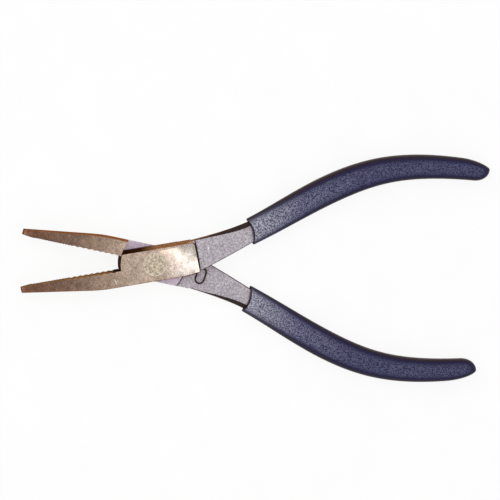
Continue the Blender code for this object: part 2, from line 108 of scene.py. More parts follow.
class SteelFinish(PropertyGroup):
    """Colours and edges of the steel."""

    # Ground colours from the joint to the tips hold browner oil towards the tips and a painted
    # falloff of the joint's highlight; the heel colour is a painted highlight
    joint_colour: colour("Ground joint", "Ground steel round the rivet", (0.70, 0.53, 0.42))
    root_colour: colour("Jaw roots", "Ground steel at the roots of the jaws", (0.56, 0.40, 0.30))
    middle_colour: colour("Jaw middles", "Ground steel half-way along", (0.30, 0.19, 0.137))
    tip_colour: colour("Jaw tips", "Ground steel at the tips of the jaws", (0.26, 0.125, 0.078))
    heel_highlight_colour: colour("Joint heels", "Ground steel at the joint's heels", (0.68, 0.60, 0.54))
    rivet_colour: colour("Rivet", "Ground head of the rivet", (0.78, 0.65, 0.50))
    blasted_colour: colour("Blasted steel", "Faces of the shanks", (0.62, 0.565, 0.615))
    lap_colour: colour("Milled steel", "Milled lap faces", (0.80, 0.66, 0.80))
    # Wall colour: an oiled skin with a painted reflection of a brown bench in it
    skin_and_reflection_colour: colour("Oiled skin", "Side walls of jaws and joint", (0.44, 0.215, 0.095))
    teeth_colour: colour("Teeth", "Flanks of the gripping teeth", (0.62, 0.32, 0.12))
    # Forging scale colour, also used for painted shade in corners, along steps, under the other
    # lever's boss and in the throat
    scale_and_shade_colour: colour("Forging scale", "Dark edges of the shanks", (0.030, 0.014, 0.012))
    edge_radius: length("Edge radius", "Worn edge of the forging", 0.06 * MM)
    scratch_depth: length("Scratch depth", "Depth of the grinding scratches", 0.003 * MM)
    grain_size: length("Grain size", "Width of a grain of the steel faces", 0.7 * MM)


class GripFinish(PropertyGroup):
    """Colours and grain of the dipped plastic."""

    body_colour: colour("Plastic", "Colour of the grips", (0.024, 0.023, 0.082))
    # Side colour: painted shade on the grips' sides with a painted reflection of a brown bench
    side_shade_colour: colour("Sides", "Colour of the grips' sides", (0.026, 0.010, 0.008))
    speck_colour: colour("Specks", "Pale specks of the grain", (0.20, 0.20, 0.34))
    # Mouth colour: painted sheen where the grips' tops catch the lamp near the mouths
    mouth_sheen_colour: colour("Mouths", "Rubbed plastic at the mouths", (0.72, 0.71, 0.82))
    grain_depth: length("Grain depth", "Depth of the fine grain", 0.03 * MM)
    section_steps: IntProperty(
        name="Section points", description="Points round the grip", default=72, min=16, max=256
    )
    run_steps: IntProperty(
        name="Run points", description="Rings along the grip", default=64, min=8, max=200
    )


class StageSetting(PropertyGroup):
    """Camera and lights."""

    pixel: length("Picture scale", "Length that one dot of a 500 dot picture shows", 0.41015 * MM)
    lens: FloatProperty(
        name="Lens", description="Focal length", default=600.0, min=50.0, unit="CAMERA"
    )
    roll: FloatProperty(
        name="Roll",
        description="Turn of the picture",
        default=math.radians(2.006),
        subtype="ANGLE",
    )
    fill: FloatProperty(name="Fill", description="Soft light from all round", default=0.6)
    ceiling: FloatProperty(
        name="Ceiling", description="Brightness that steel mirrors from above", default=0.6
    )
    key_power: FloatProperty(
        name="Soft lamp", description="Power of the wide lamp", default=2.4, subtype="POWER"
    )
    near_power: FloatProperty(
        name="Near lamp",
        description="Power of the small lamp over the joint",
        default=0.0024,
        subtype="POWER",
    )


# Objects and meshes


def link(name, mesh, body, stands_for):
    """Put a piece in the scene, riding on a body in the place of its solid."""
    piece = bpy.data.objects.new(name, mesh)
    bpy.context.scene.collection.objects.link(piece)
    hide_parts(stands_for)
    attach(piece, body)
    return piece


def settle(piece):
    """Keep the shape that the modifiers make."""
    bpy.context.view_layer.update()
    graph = bpy.context.evaluated_depsgraph_get()
    shaped = bpy.data.meshes.new_from_object(piece.evaluated_get(graph))
    piece.modifiers.clear()
    piece.data = shaped


def loft(name, rings):
    """Skin a row of closed rings and cap both ends."""
    bm = bmesh.new()
    rows = [[bm.verts.new(point) for point in ring] for ring in rings]
    count = len(rings[0])
    for first, second in zip(rows, rows[1:]):
        for i in range(count):
            j = (i + 1) % count
            bm.faces.new((first[i], first[j], second[j], second[i]))
    bm.faces.new(rows[0][::-1])
    bm.faces.new(rows[-1])
    bmesh.ops.recalc_face_normals(bm, faces=bm.faces)
    mesh = bpy.data.meshes.new(name)
    bm.to_mesh(mesh)
    bm.free()
    return mesh


def mix(a, b, t):
    """Straight mix of two numbers."""
    return a + (b - a) * t


def ease(t):
    """Go smoothly from 0 to 1."""
    t = min(max(t, 0.0), 1.0)
    return t * t * (3 - 2 * t)


# Materials


# Values at which a grain counts as lowest and highest
GRAIN_LOW = 0.3
GRAIN_HIGH = 0.7

# Shading at which a corner counts as deep and as open
CORNER_DEEP = 0.58
CORNER_OPEN = 0.985

# How far a mark reaches into the thickness, and the share of it that is full strength
MARK_DEPTH = 3.0 * MM
MARK_CORE = 0.6

# Marks: middle, half length, half width and turn
JAW_SCRATCH = ((-15.99 * MM, -7.56 * MM, HEAD_TOP), 1.5 * MM, 0.30 * MM, math.radians(-62))
SHANK_NICK = ((21.94 * MM, 6.99 * MM, 9.0 * MM), 0.85 * MM, 0.42 * MM, math.radians(80))
# Painted shadow lines at the foot of each heel step
HEEL_SHADOW_LINES = tuple(
    ((17.55 * MM, side * 3.95 * MM, height), 9.5 * MM, 0.55 * MM, side * math.radians(102.2))
    for side, height in ((1, 9.0 * MM), (-1, 0.4 * MM))
)
SCRATCH_COLOUR = (1.0, 0.95, 0.85)
NICK_COLOUR = (1.0, 0.97, 1.0)

# Rings round the rivet: where each starts and where it is full
# Painted shade on the blasted face inside this ring, under the other lever's boss
RELIEF_SHADE_ARC = (13.45 * MM, 13.7 * MM)
# Painted highlight along the lit edge of the lap
LAP_RIM_HIGHLIGHT = (13.2 * MM, 14.0 * MM)
RIVET_RIM = (4.45 * MM, 4.7 * MM)
LAP_HIGHLIGHT_COLOUR = (0.95, 0.82, 0.86)
RIVET_RIM_COLOUR = (0.98, 0.92, 0.80)
CUTTER_RINGS = 700.0

# Shares of the wall colour's red, green and blue on the walls of the jaws; the wall colour is an
# oiled skin with a painted reflection of a brown bench in it
JAW_WALL = (0.85, 0.68, 0.58)


def new_finish(name):
    """Empty Principled material and its shader."""
    material = bpy.data.materials.new(name)
    material.use_nodes = True
    return material, material.node_tree, material.node_tree.nodes["Principled BSDF"]


def put(tree, kind, values=None, **settings):
    """Add a node, with each input set to a number or joined to a socket."""
    made = tree.nodes.new(kind)
    for name, value in settings.items():
        setattr(made, name, value)
    for name, value in (values or {}).items():
        if isinstance(value, bpy.types.NodeSocket):
            tree.links.new(value, made.inputs[name])
        else:
            made.inputs[name].default_value = value
    return made


def on_piece(tree, output="Object"):
    """Place on the piece, or its outward direction."""
    return put(tree, "ShaderNodeTexCoord").outputs[output]


def part_of(tree, vector, axis):
    """One of the three numbers of a place or a direction."""
    return put(tree, "ShaderNodeSeparateXYZ", {"Vector": vector}).outputs[axis]


def length_of(tree, vector):
    """Distance from zero."""
    return put(tree, "ShaderNodeVectorMath", {0: vector}, operation="LENGTH").outputs["Value"]


def work_out(tree, operation, *values):
    """Sum, product or other result of one or two numbers."""
    return put(tree, "ShaderNodeMath", dict(enumerate(values)), operation=operation).outputs[0]


def place_on(tree, scale=(1.0, 1.0, 1.0), turn=0.0, start=(0.0, 0.0, 0.0)):
    """Place on the piece from a start, turned and stretched."""
    values = {
        "Vector": on_piece(tree),
        "Location": start,
        "Rotation": (0.0, 0.0, turn),
        "Scale": scale,
    }
    return put(tree, "ShaderNodeMapping", values, vector_type="TEXTURE").outputs["Vector"]


def grain(tree, place, size, detail=3.0, roughness=0.6):
    """Soft random grain with lumps of about a size."""
    values = {"Vector": place, "Scale": 1.0 / size, "Detail": detail, "Roughness": roughness}
    return put(tree, "ShaderNodeTexNoise", values).outputs["Fac"]


def strokes(tree, length, degrees, width, detail):
    """Grain drawn out into strokes and turned."""
    place = place_on(tree, (1.0, length, 1.0), math.radians(degrees))
    return grain(tree, place, width, detail)


def spread(tree, value, low, high, to_low=0.0, to_high=1.0):
    """Stretch a value from one range to another."""
    values = {
        "Value": value,
        "From Min": low,
        "From Max": high,
        "To Min": to_low,
        "To Max": to_high,
    }
    return put(tree, "ShaderNodeMapRange", values, clamp=True).outputs["Result"]


def blend_colours(tree, factor, first, second):
    """Mix of two colours or colour sockets."""
    node = tree.nodes.new("ShaderNodeMix")
    node.data_type = "RGBA"
    sockets = (node.inputs[0], node.inputs[6], node.inputs[7])
    for socket, value in zip(sockets, (factor, first, second)):
        if isinstance(value, bpy.types.NodeSocket):
            tree.links.new(value, socket)
        else:
            socket.default_value = (*value, 1.0)
    return node.outputs[2]


def bump(tree, shader, height, depth):
    """Raise the surface by a height, which runs from 0 to 1."""
    values = {"Height": height, "Distance": depth, "Strength": 1.0}
    normal = put(tree, "ShaderNodeBump", values).outputs["Normal"]
    tree.links.new(normal, shader.inputs["Normal"])


def along_x(tree):
    """Place along the tool's length."""
    return part_of(tree, on_piece(tree), "X")


def shade_along(tree, stops):
    """Colour that changes along the tool, from stops of a place in mm and a colour."""
    first, last = stops[0][0], stops[-1][0]
    factor = spread(tree, along_x(tree), first * MM, last * MM)
    node = put(tree, "ShaderNodeValToRGB", {"Fac": factor})
    row = node.color_ramp.elements
    for place, _ in stops[1:-1]:
        row.new((place - first) / (last - first))
    for stop, (_, shade) in zip(row, stops):
        stop.color = (*shade, 1.0)
    return node.outputs["Color"]


def dimmed(shade, share):
    """Colour made darker or paler."""
    return tuple(min(share * c, 1.0) for c in shade)


def between(first, second, share):
    """Colour that lies between two."""
    return tuple(mix(a, b, share) for a, b in zip(first, second))


def mottled(tree, shade, factor, low, high, dark, pale):
    """Colour made darker where a grain is low and paler where it is high."""
    values = {0: shade, "Scale": spread(tree, factor, low, high, dark, pale)}
    return put(tree, "ShaderNodeVectorMath", values, operation="SCALE").outputs[0]


def paint(tree, shader, base, factor, rough, numbers):
    """Set the colour, a roughness between two values that follows a grain, and plain numbers."""
    tree.links.new(base, shader.inputs["Base Color"])
    roughness = spread(tree, factor, GRAIN_LOW, GRAIN_HIGH, *rough)
    tree.links.new(roughness, shader.inputs["Roughness"])
    for name, value in numbers.items():
        shader.inputs[name].default_value = value


def corner_shade(tree, reach):
    """Painted corner shade from ambient occlusion: 0 deep in a corner and 1 in the open."""
    values = {"Distance": reach}
    shaded = put(tree, "ShaderNodeAmbientOcclusion", values, samples=8).outputs["AO"]
    return spread(tree, shaded, CORNER_DEEP, CORNER_OPEN)


def mark_at(tree, centre, half_length, half_width, turn):
    """1 inside a small long spot on the face and 0 outside."""
    inside = place_on(tree, (half_length, half_width, MARK_DEPTH), turn, centre)
    return spread(tree, length_of(tree, inside), MARK_CORE, 1.0, 1.0, 0.0)


def round_rivet(tree, inner, outer):
    """0 within one radius of the pivot and 1 beyond another."""
    values = {0: on_piece(tree), 1: (1.0, 1.0, 0.0)}
    level = put(tree, "ShaderNodeVectorMath", values, operation="MULTIPLY").outputs[0]
    return spread(tree, length_of(tree, level), inner, outer)


def ground_steel(steel):
    """Ground faces: fine crossed scratches and a speckled grain, darker towards the tips by
    browner oil together with a painted falloff of the joint's highlight, and paler at the heels
    by a painted highlight.
    """
    material, tree, shader = new_finish("ground_steel")
    first = strokes(tree, length=7.0, degrees=38, width=0.4 * MM, detail=4.0)
    second = strokes(tree, length=6.0, degrees=-24, width=0.5 * MM, detail=4.0)
    scratches = work_out(tree, "ADD", first, second)
    speck = grain(tree, place_on(tree), 0.7 * steel.grain_size, detail=4.0, roughness=0.8)
    cloud = grain(tree, place_on(tree), 2.6 * MM, detail=3.0, roughness=0.6)
    sparkle = strokes(tree, length=2.2, degrees=-40, width=0.55 * MM, detail=2.0)
    # Browner oil towards the tips with a painted falloff of the joint's highlight, and a painted
    # highlight at the heel
    base = shade_along(tree, (
        (-54.5, dimmed(steel.tip_colour, 2.2)),
        (-52.5, steel.tip_colour),
        (-34.0, steel.middle_colour),
        (-19.0, steel.root_colour),
        (-11.0, steel.joint_colour),
        (2.0, steel.joint_colour),
        (12.0, steel.heel_highlight_colour),
    ))
    base = mottled(tree, base, speck, 0.34, 0.66, dark=0.62, pale=1.40)
    base = mottled(tree, base, cloud, 0.35, 0.65, dark=0.80, pale=1.22)
    base = mottled(tree, base, scratches, 0.85, 1.15, dark=0.86, pale=1.16)
    base = mottled(tree, base, sparkle, 0.62, 0.72, dark=1.0, pale=1.7)
    base = blend_colours(tree, mark_at(tree, *JAW_SCRATCH), base, SCRATCH_COLOUR)
    paint(tree, shader, base, speck, (0.10, 0.20), {"Metallic": 1.0})
    bump(tree, shader, spread(tree, scratches, 0.7, 1.3), steel.scratch_depth)
    return material


def blasted_steel(steel):
    """Shank faces: fine blasted grain, with painted shade along the steps, in corners and under
    the other lever's boss.
    """
    material, tree, shader = new_finish("blasted_steel")
    fine = grain(tree, place_on(tree), steel.grain_size, detail=3.0, roughness=0.7)
    broad = grain(tree, place_on(tree), 3.0 * MM, detail=3.0)
    duller = spread(tree, broad, 0.4, 0.65, 0.0, 0.6)
    dull = dimmed(steel.blasted_colour, 0.86)
    base = blend_colours(tree, duller, steel.blasted_colour, dull)
    base = mottled(tree, base, fine, 0.34, 0.66, dark=0.57, pale=1.39)
    base = blend_colours(tree, mark_at(tree, *SHANK_NICK), base, NICK_COLOUR)
    # Painted shadow lines at the foot of the heel steps
    for line in HEEL_SHADOW_LINES:
        heel = mark_at(tree, *line)
        base = blend_colours(tree, heel, base, dimmed(steel.scale_and_shade_colour, 1.6))
    # Painted shade under the other lever's boss and in corners
    arc = round_rivet(tree, *RELIEF_SHADE_ARC)
    unshaded = work_out(tree, "MULTIPLY", arc, corner_shade(tree, reach=1.1 * MM))
    base = blend_colours(tree, unshaded, steel.scale_and_shade_colour, base)
    paint(tree, shader, base, broad, (0.48, 0.60), {"Metallic": 0.6, "Specular IOR Level": 0.2})
    bump(tree, shader, fine, depth=0.012 * MM)
    return material


def milled_steel(steel):
    """Lap faces: rings left by the cutter that turned about the rivet, a painted highlight along
    the lap's edge and painted shade in corners.
    """
    material, tree, shader = new_finish("milled_steel")
    values = {
        "Vector": on_piece(tree),
        "Scale": CUTTER_RINGS,
        "Distortion": 0.6,
        "Detail": 2.0,
    }
    wave = put(tree, "ShaderNodeTexWave", values, wave_type="RINGS", rings_direction="Z")
    broad = grain(tree, place_on(tree), 1.6 * MM, detail=3.0)
    # Painted highlight along the lit edge of the lap
    rim = round_rivet(tree, *LAP_RIM_HIGHLIGHT)
    base = blend_colours(tree, rim, steel.lap_colour, LAP_HIGHLIGHT_COLOUR)
    base = mottled(tree, base, broad, 0.35, 0.68, dark=0.78, pale=1.15)
    # Painted shade in corners
    base = blend_colours(tree, corner_shade(tree, reach=0.4 * MM), steel.scale_and_shade_colour, base)
    paint(tree, shader, base, broad, (0.42, 0.55), {"Metallic": 0.8})
    bump(tree, shader, wave.outputs["Fac"], depth=0.003 * MM)
    return material


def oiled_wall_with_reflection(steel, throat=False):
    """Side walls: oily skin with a painted reflection of a brown bench, darker on the shanks, and
    near black in the throat by painted shade.
    """
    material, tree, shader = new_finish("throat_wall" if throat else "oiled_wall_with_reflection")
    skin = steel.skin_and_reflection_colour
    jaw = tuple(share * c for share, c in zip(JAW_WALL, skin))
    if throat:
        # Painted shade: near black deep in the throat, brown where the wall stands open by the
        # boss
        stops = (
            (-15.0, dimmed(jaw, 0.16)),
            (-6.0, dimmed(jaw, 0.12)),
            (1.0, dimmed(skin, 0.95)),
            (15.0, skin),
            (19.0, dimmed(jaw, 0.55)),
        )
    else:
        stops = (
            (-54.9, dimmed(jaw, 0.35)),
            (-53.5, dimmed(jaw, 0.9)),
            (-30.0, jaw),
            (-15.0, dimmed(jaw, 1.1)),
            (0.0, skin),
            (15.0, skin),
            (24.0, dimmed(jaw, 0.55)),
            (50.0, dimmed(jaw, 0.45)),
        )
    patches = grain(tree, place_on(tree), 1.1 * MM, detail=4.0)
    base = mottled(tree, shade_along(tree, stops), patches, 0.35, 0.68, dark=0.55, pale=1.35)
    paint(tree, shader, base, patches, (0.55, 0.75), {
        "Metallic": 0.5,
        "Specular Tint": (*dimmed(skin, 1.3), 1.0),
        "Specular IOR Level": 0.0,
    })
    bump(tree, shader, grain(tree, place_on(tree), 0.5 * MM), depth=0.015 * MM)
    return material


def brown_teeth(steel):
    """Flanks of the teeth, with brown oil in their grooves and painted shade where they run into
    the throat.
    """
    material, tree, shader = new_finish("brown_teeth")
    patches = grain(tree, place_on(tree), 0.7 * MM, detail=3.0)
    # Near black towards the throat: painted shade
    base = shade_along(tree, (
        (-54.0, dimmed(steel.teeth_colour, 0.7)),
        (-30.0, steel.teeth_colour),
        (-19.0, steel.teeth_colour),
        (-15.5, dimmed(steel.scale_and_shade_colour, 1.5)),
    ))
    base = mottled(tree, base, patches, 0.35, 0.68, dark=0.6, pale=1.3)
    paint(tree, shader, base, patches, (0.45, 0.65), {"Specular IOR Level": 0.0})
    bump(tree, shader, patches, depth=0.01 * MM)
    return material


def dark_scale(steel):
    """Chamfers of the shanks and die marks, which keep their black skin, and the heel steps,
    where the black is painted shade.
    """
    material, tree, shader = new_finish("dark_scale")
    patches = grain(tree, place_on(tree), 0.9 * MM, detail=4.0)
    base = mottled(tree, steel.scale_and_shade_colour, patches, 0.35, 0.72, dark=0.5, pale=1.9)
    paint(tree, shader, base, patches, (0.5, 0.7), {"Specular IOR Level": 0.25})
    bump(tree, shader, patches, depth=0.02 * MM)
    return material


def rivet_steel(steel):
    """Rivet head: ground flush with the joint, mottled, with a bright rim."""
    material, tree, shader = new_finish("ground_rivet")
    mottle = grain(tree, place_on(tree), 0.8 * MM, detail=4.0, roughness=0.75)
    scratches = strokes(tree, length=8.0, degrees=52, width=0.4 * MM, detail=3.0)
    base = mottled(tree, steel.rivet_colour, mottle, 0.36, 0.66, dark=0.42, pale=1.50)
    base = mottled(tree, base, scratches, 0.38, 0.62, dark=0.85, pale=1.15)
    base = blend_colours(tree, round_rivet(tree, *RIVET_RIM), base, RIVET_RIM_COLOUR)
    paint(tree, shader, base, mottle, (0.30, 0.46), {"Metallic": 1.0})
    bump(tree, shader, scratches, depth=0.004 * MM)
    return material


def dipped_plastic(grip):
    """Grips: dark blue plastic with pale specks, a painted sheen near the mouths, and painted
    shade with a painted brown reflection on the sides and in corners.
    """
    material, tree, shader = new_finish("dipped_plastic_grain")
    fine = grain(tree, place_on(tree), 0.48 * MM, detail=2.0, roughness=0.8)
    broad = grain(tree, place_on(tree), 5.0 * MM, detail=2.0)
    flatness = work_out(tree, "ABSOLUTE", part_of(tree, on_piece(tree, "Normal"), "Z"))
    speck, mouth = grip.speck_colour, grip.mouth_sheen_colour
    # Painted sheen near the mouths, fading into the pale specks of the grain further along
    sheen_and_speck = shade_along(tree, (
        (38.0, mouth),
        (48.0, between(speck, mouth, 0.60)),
        (60.0, between(speck, mouth, 0.15)),
        (85.0, dimmed(speck, 0.75)),
        (150.0, dimmed(speck, 0.62)),
    ))
    # Painted sheen over the whole face near the mouths
    sheen_near_mouth = spread(tree, along_x(tree), 40.0 * MM, 75.0 * MM, 0.12, 0.0)
    dull = blend_colours(tree, sheen_near_mouth, grip.body_colour, sheen_and_speck)
    dull = mottled(tree, dull, broad, 0.0, 1.0, dark=0.85, pale=1.15)
    raised = spread(tree, fine, 0.44, 0.57)
    # Spots where the grain is raised on the flat tops: pale specks, with the painted sheen near
    # the mouths
    worn = work_out(tree, "MULTIPLY", raised, spread(tree, flatness, 0.86, 1.0))
    base = blend_colours(tree, worn, dull, sheen_and_speck)
    # Painted shade on the sides and in corners
    for unshaded in (spread(tree, flatness, 0.45, 0.94), corner_shade(tree, reach=0.5 * MM)):
        base = blend_colours(tree, unshaded, grip.side_shade_colour, base)
    paint(tree, shader, base, fine, (0.50, 0.38), {"Specular IOR Level": 0.12})
    bump(tree, shader, fine, grip.grain_depth)
    return material


# Levers


def lever_frame(flipped):
    """Turn that takes the lever from where it is drawn to where it lies."""
    if flipped:
        return Matrix.Rotation(-HALF_OPENING, 3, "Z") @ Matrix.Rotation(math.pi, 3, "X")
    return Matrix.Rotation(HALF_OPENING, 3, "Z")


def surface_of(place, normal):
    """Kind of a face, from its middle and the way that it looks."""
    flat = abs(normal.z) > FLAT_SHARE
    if place.x < -BOSS_RADIUS:
        if flat:
            return GROUND
        groove = abs(normal.x) > GROOVE_SHARE > normal.z and place.x > TEETH_END
        return TEETH if normal.y > GRIPPING_SHARE or groove else WALL
    if flat and normal.z < 0 and place.x < MOUTH_X:
        if place.z > LAND_HEIGHT:
            return BLASTED
        return SCALE if place.z > MARK_FACE else MILLED
    if place.x > SHANK_START:
        if flat:
            return BLASTED
        return SCALE if abs(normal.z) > CHAMFER_SHARE else WALL
    # The heel's step takes the dark scale finish as painted shade at the foot of the step
    if normal.x > HEEL_SHARE and place.x > HEEL_STEP:
        return SCALE
    if flat:
        return GROUND
    return THROAT if place.y > THROAT_SIDE else WALL


def forging(name, node, flipped, finishes):
    """The lever's solid, with its flat faces joined and a finish on each face."""
    bm = bmesh.new()
    bm.from_mesh(frame["nodes"][node].data)
    bmesh.ops.remove_doubles(bm, verts=bm.verts, dist=WELD_GAP)
    bmesh.ops.dissolve_limit(bm, angle_limit=FLAT_BEND, verts=bm.verts, edges=bm.edges)
    back = lever_frame(flipped).transposed()
    for face in bm.faces:
        face.smooth = True
        place = back @ (face.calc_center_median() - PIVOT)
        face.material_index = surface_of(place, back @ face.normal)
    mesh = bpy.data.meshes.new(name)
    bm.to_mesh(mesh)
    bm.free()
    for finish in finishes:
        mesh.materials.append(finish)
    return mesh


def wear_edges(piece, radius):
    """Round the sharp edges a little."""
    bevel = piece.modifiers.new("Worn edges", "BEVEL")
    bevel.width = radius
    bevel.segments = WORN_STEPS
    bevel.limit_method = "ANGLE"
    bevel.angle_limit = WORN_BEND
    settle(piece)
    piece.data.set_sharp_from_angle(angle=SHARP_BEND)


class PLIERS_OT_levers(Operator):
    """Dress both levers"""

    bl_idname = "pliers.levers"
    bl_label = "Levers"

    def execute(self, context):
        steel = context.scene.pliers_steel
        finishes = [
            ground_steel(steel),
            blasted_steel(steel),
            milled_steel(steel),
            oiled_wall_with_reflection(steel),
            dark_scale(steel),
            brown_teeth(steel),
            oiled_wall_with_reflection(steel, throat=True),
        ]
        for node, body, flipped in (
            ("front_lever", "front_half", False),
            ("rear_lever", "rear_half", True),
        ):
            mesh = forging(node + "_steel", node, flipped, finishes)
            piece = link(node + "_steel", mesh, body, node)
            wear_edges(piece, steel.edge_radius)
        return {"FINISHED"}


class PLIERS_OT_rivet(Operator):
    """Give the rivet its ground finish"""

    bl_idname = "pliers.rivet"
    bl_label = "Rivet"

    def execute(self, context):
        rivet = frame["nodes"]["joint_rivet"]
        rivet.material_slots[0].material = rivet_steel(context.scene.pliers_steel)
        return {"FINISHED"}


# Grips, which follow the same centre line as the solids under them


GRIP_WALL = 1.1 * MM
GRIP_SKIN = 1.3 * MM
SHANK_MOUTH_WIDTH = 8.35 * MM
SHANK_MOUTH_TOP = HALF_HEAD - GRIP_SKIN
SHANK_UNDERSIDE = 0.35 * MM
# Places that the centre line passes, in mm for the shut tool, and its slope there
KNOTS = (
    (Vector((42.0, 6.65)) * MM, math.radians(17.0)),
    (Vector((102.0, 21.9)) * MM, 0.0),
    (Vector((142.6, 14.2)) * MM, math.radians(-17.0)),
)
# Widths of the grip at places along the tool
WIDTHS = (
    (42.0 * MM, SHANK_MOUTH_WIDTH + 2 * GRIP_SKIN),
    (78.0 * MM, 11.8 * MM),
    (113.0 * MM, 10.2 * MM),
    (142.6 * MM, 8.3 * MM),
)
TANG_CRANK = 34.0 * MM
TUNNEL_START = 46.0 * MM
TANG_END = 131.0 * MM
TAIL_THICKNESS = 8.2 * MM
# Corners of a section: 2 is an ellipse, and more is squarer
SQUARENESS = 2.7
MOUTH_SQUARENESS = 8.0
# How far from the tip each side of the closed end starts to round off
END_OUTER = 12.5 * MM
END_INNER = 6.2 * MM
END_THICK = 5.0 * MM
END_STEPS = 26
END_FLAT = math.radians(3.0)
NOSE_OUT = 0.9 * MM
MOUTH_SLANT = 2.0 * MM
MOUTH_DIP = 1.5 * MM
# How much further than the centre line each dip coat reaches
FRONT_EXTRA = 0.95 * MM
REAR_EXTRA = -1.6 * MM
# Rings of the mouth's lip: how far in from the mouth and how far under the skin, in mm
LIP = (
    (0.9, 1.1), (0.2, 1.1), (0.0, 0.92), (-0.03, 0.6),
    (0.0, 0.3), (0.12, 0.11), (0.32, 0.02), (0.5, 0.0),
)
LIP_INSIDE = 0.5
SKIN_START = 3.2 * MM


def smooth_through(stations, x):
    """Smooth curve through (x, value) stations, level beyond the first and last."""
    if x <= stations[0][0]:
        return stations[0][1]
    for i in range(len(stations) - 1):
        (x0, v0), (x1, v1) = stations[i], stations[i + 1]
        if x <= x1:
            before = stations[max(i - 1, 0)]
            after = stations[min(i + 2, len(stations) - 1)]
            m0 = (v1 - before[1]) / (x1 - before[0]) * (x1 - x0)
            m1 = (after[1] - v0) / (after[0] - x0) * (x1 - x0)
            t = (x - x0) / (x1 - x0)
            swing = m0 * t * (1 - t) ** 2 - m1 * t * t * (1 - t)
            return mix(v0, v1, ease(t)) + swing
    return stations[-1][1]


def handle_line(steps):
    """Places and sideways directions from the mouth of the grip to its tail."""
    points = []
    for (start, slope_a), (end, slope_b) in zip(KNOTS, KNOTS[1:]):
        pull = (end - start).length / 3
        handle_a = start + Vector((math.cos(slope_a), math.sin(slope_a))) * pull
        handle_b = end - Vector((math.cos(slope_b), math.sin(slope_b))) * pull
        run = interpolate_bezier(start, handle_a, handle_b, end, steps + 1)
        points += [Vector(p[:2]) for p in run[(1 if points else 0):]]
    line = []
    for i, point in enumerate(points):
        ahead = points[min(i + 1, len(points) - 1)] - points[max(i - 1, 0)]
        ahead.normalize()
        line.append((point, Vector((-ahead.y, ahead.x))))
    return line


def section_heights(x):
    """Underside and top of the steel inside the grip."""
    crank = ease((x - MOUTH_X) / TANG_CRANK)
    taper_start, taper_end = WIDTHS[2][0], WIDTHS[3][0]
    taper = ease((x - taper_start) / (taper_end - taper_start))
    thinner = (HEAD_TOP - TAIL_THICKNESS) / 2 * taper
    low = mix(SHANK_UNDERSIDE, -SHANK_MOUTH_TOP + thinner, crank)
    return low, SHANK_MOUTH_TOP - thinner


def along(line, distance):
    """Place and sideways direction at a distance along the line, straight on beyond its end."""
    for (start, side_a), (end, side_b) in zip(line, line[1:]):
        step = (end - start).length
        if distance <= step or end is line[-1][0]:
            t = distance / step
            return start + (end - start) * t, side_a.lerp(side_b, min(t, 1.0)).normalized()
        distance -= step


def closing(distance, reach):
    """Quarter of an ellipse: 0 at the tip and 1 from its reach on."""
    t = 1 - min(distance / reach, 1.0)
    return math.sqrt(1 - t * t)


def sleeve_ring(where, steps, ends=(1.0, 1.0, 1.0), shrink=0.0, mouth=False, square=SQUARENESS):
    """Section of the grip; ends are the shares of outer side, inner side and thickness left."""
    point, sideways = where
    low, top = section_heights(point.x)
    half_width = smooth_through(WIDTHS, point.x) / 2 - shrink
    half_height = ((top - low) / 2 + GRIP_SKIN) * ends[2] - shrink
    outwards = NOSE_OUT * (1 - ends[0])
    ahead = Vector((sideways.y, -sideways.x))
    places = []
    for i in range(steps):
        angle = 2 * math.pi * i / steps
        c, s = math.cos(angle), math.sin(angle)
        u = math.copysign(abs(c) ** (2 / square), c)
        v = math.copysign(abs(s) ** (2 / square), s)
        reach = (half_width - outwards) * ends[0] if c > 0 else (half_width + outwards) * ends[1]
        place = point + sideways * (outwards + u * reach)
        if mouth:
            place += ahead * (MOUTH_DIP * (1 - u * u) - MOUTH_SLANT * (1 - u) / 2)
        places.append((place.x, place.y, (top + low) / 2 + v * half_height))
    return places


def tunnel_rings(line, total, grip):
    """Room for the tang, from its closed end to just inside the mouth."""
    rings = []
    for i in range(grip.run_steps, 0, -1):
        where = along(line, total * i / grip.run_steps)
        if TUNNEL_START < where[0].x < TANG_END:
            square = mix(MOUTH_SQUARENESS, SQUARENESS, ease((where[0].x - MOUTH_X) / TANG_CRANK))
            rings.append(sleeve_ring(where, grip.section_steps, shrink=GRIP_WALL, square=square))
    return rings


def sleeve(name, extra, grip):
    """Skin of the grip: hollow for the tang, rounded at the mouth and closed at the tail."""
    line = handle_line(grip.run_steps)
    steps = grip.section_steps
    total = sum((b[0] - a[0]).length for a, b in zip(line, line[1:])) + extra
    run = total - END_OUTER
    mouth, mouth_side = line[0]
    ahead = Vector((mouth_side.y, -mouth_side.x))
    rings = tunnel_rings(line, total, grip)
    for in_by, shrink in LIP:
        where = (mouth + ahead * in_by * MM, mouth_side)
        square = MOUTH_SQUARENESS if in_by > LIP_INSIDE else SQUARENESS
        rings.append(sleeve_ring(where, steps, shrink=shrink * MM, mouth=True, square=square))
    for i in range(grip.run_steps + 1):
        distance = mix(SKIN_START, run, i / grip.run_steps)
        rings.append(sleeve_ring(along(line, distance), steps))
    for i in range(1, END_STEPS + 1):
        left = END_OUTER * (1 - math.cos(mix(math.pi / 2, END_FLAT, i / END_STEPS)))
        ends = [closing(left, reach) for reach in (END_OUTER, END_INNER, END_THICK)]
        rings.append(sleeve_ring(along(line, total - left), steps, ends))
    return loft(name, rings)


